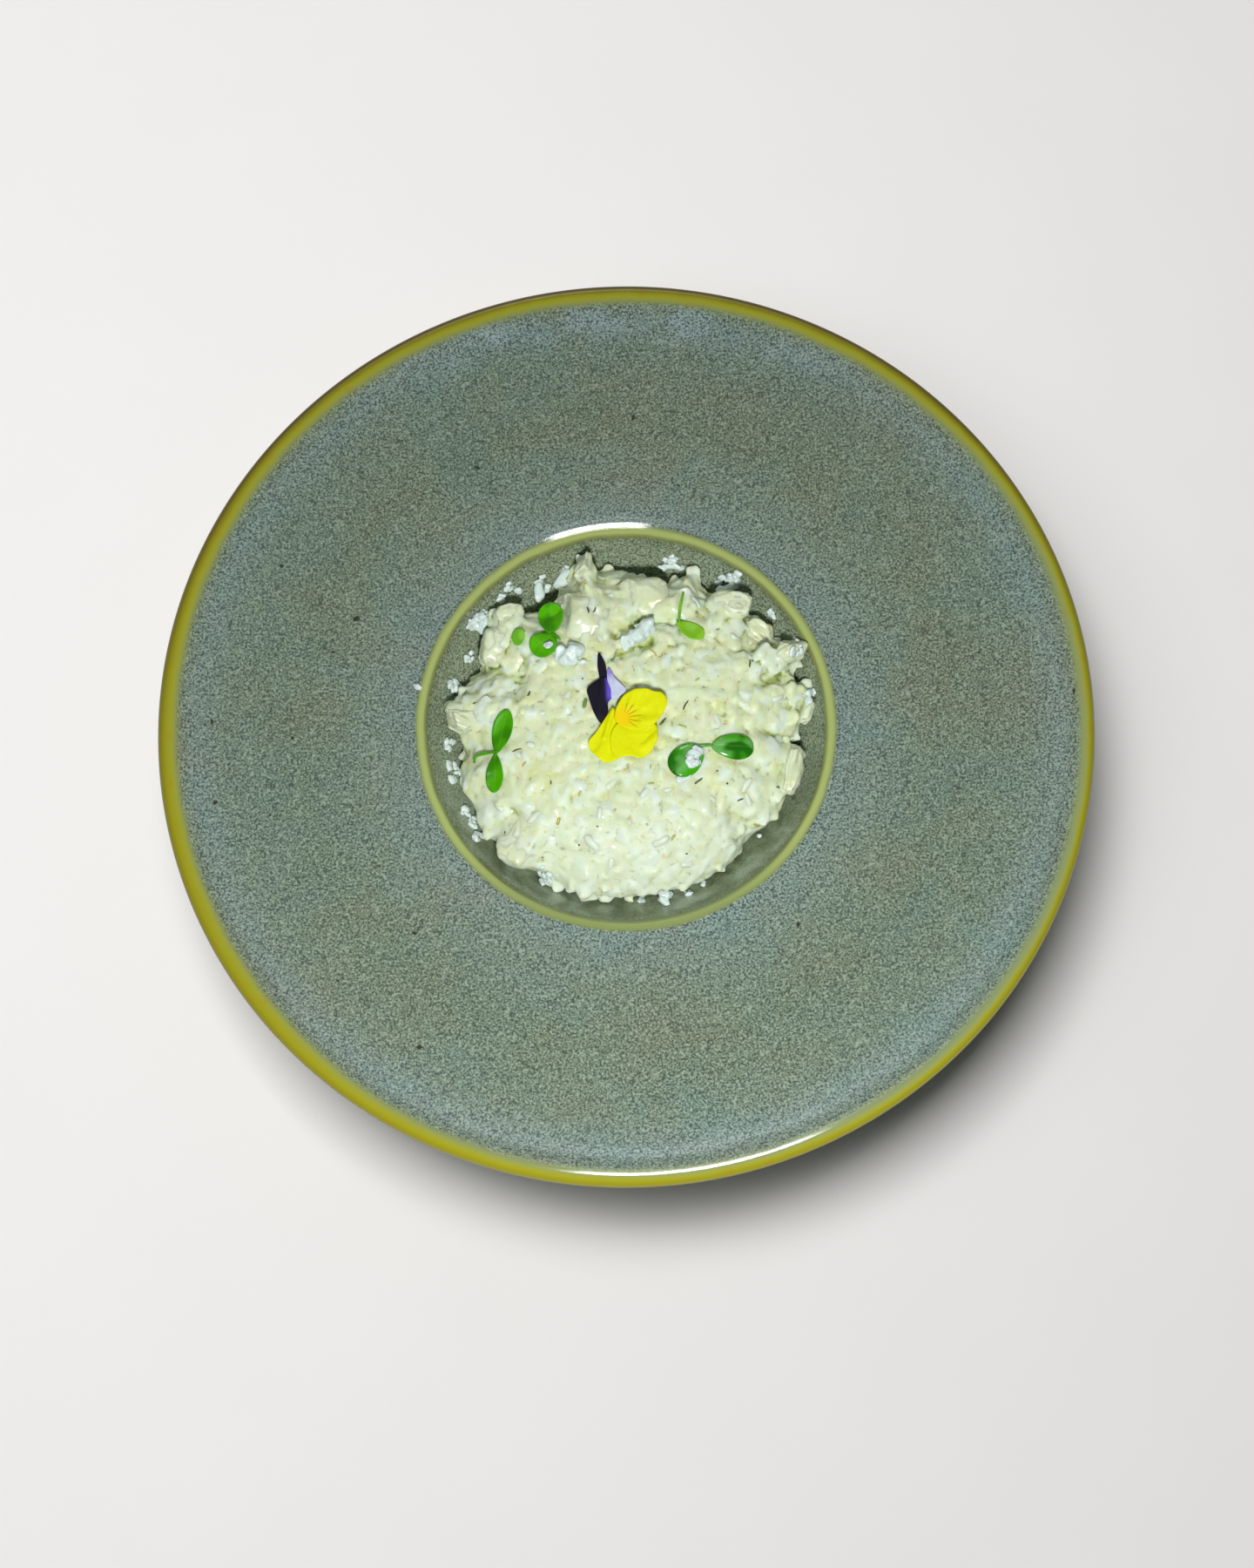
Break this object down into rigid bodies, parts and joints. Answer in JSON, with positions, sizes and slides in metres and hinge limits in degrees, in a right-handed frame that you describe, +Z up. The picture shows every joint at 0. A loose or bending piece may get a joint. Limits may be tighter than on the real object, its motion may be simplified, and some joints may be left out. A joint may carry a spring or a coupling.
{
  "type": "plate of chicken risotto",
  "caption": "Creamy rice with chicken heaped in the small deep well of a wide-rimmed stoneware plate, topped with white cheese, green sprigs and a viola.",
  "frame": {"origin": "on the plate's axis, on the plane that its foot stands on; bottom centre of the bounding box", "axes": "+Z up along the plate's axis, -Y towards the eater (the picture's lower edge), +X to the eater's right"},
  "size_m": [0.28, 0.28, 0.0428],
  "materials": {
    "stoneware_glaze": "satin speckled grey-green reactive stoneware glaze, glossier yellow-olive on the lip and on the edge of the well",
    "risotto": "moist creamy rice",
    "chicken": "moist cooked chicken coated in cream",
    "cheese": "fresh crumbled white cheese",
    "sprig": "smooth fresh green leaf",
    "petal_yellow": "velvety yellow petal",
    "petal_purple": "velvety near-black purple petal",
    "petal_lavender": "pale lavender petal"
  },
  "bodies": {
    "root": {"plate": "stoneware_glaze", "risotto": "risotto", "chicken_1": "chicken", "chicken_2": "chicken", "chicken_3": "chicken", "chicken_4": "chicken", "chicken_5": "chicken", "chicken_6": "chicken", "chicken_7": "chicken", "chicken_8": "chicken", "chicken_9": "chicken", "chicken_10": "chicken", "chicken_11": "chicken", "chicken_12": "chicken", "cheese_1": "cheese", "cheese_2": "cheese", "cheese_3": "cheese", "cheese_4": "cheese", "cheese_5": "cheese", "cheese_6": "cheese", "cheese_7": "cheese", "sprig_top_left": "sprig", "sprig_top_right": "sprig", "sprig_left": "sprig", "sprig_right": "sprig", "sprig_bit": "sprig", "viola_purple_narrow": "petal_purple", "viola_purple_wide": "petal_purple", "viola_lavender": "petal_lavender", "viola_yellow_side": "petal_yellow", "viola_yellow_lower": "petal_yellow", "viola_yellow_upper": "petal_yellow"}
  },
  "joints": []
}
